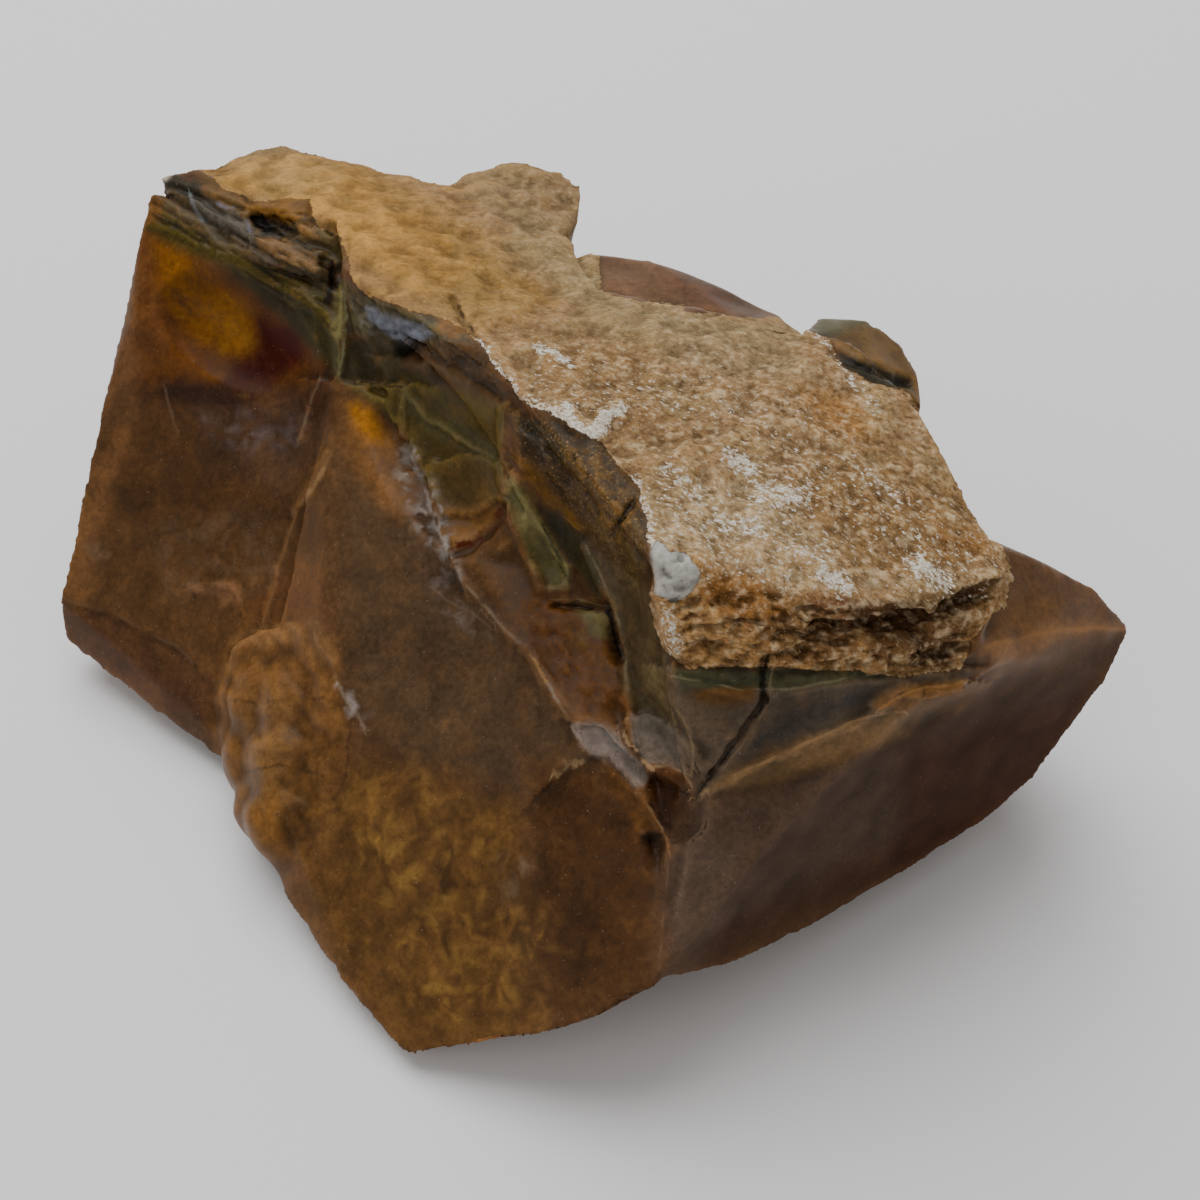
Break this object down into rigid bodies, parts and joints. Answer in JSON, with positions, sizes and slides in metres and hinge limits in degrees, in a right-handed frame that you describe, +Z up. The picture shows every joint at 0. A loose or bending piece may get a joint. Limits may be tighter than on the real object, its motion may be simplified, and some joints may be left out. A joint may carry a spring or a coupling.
{
  "type": "rough mineral chunk",
  "caption": "Rough broken chunk of brown glassy banded stone with shell-shaped fracture faces, sharp ridges and a tan, pitted, weathered top.",
  "frame": {"origin": "middle of the stone's footprint box, on the surface it rests on", "axes": "+Z up from the flat rest spot to the weathered top, +X along the longest extent towards the pointed spur, +Y to the back"},
  "size_m": [0.1022, 0.0842, 0.0461],
  "materials": {
    "stone": "glassy fracture faces under a rough, tan, granular rind"
  },
  "bodies": {
    "root": {"tiger_eye_chunk": "stone"}
  },
  "joints": []
}
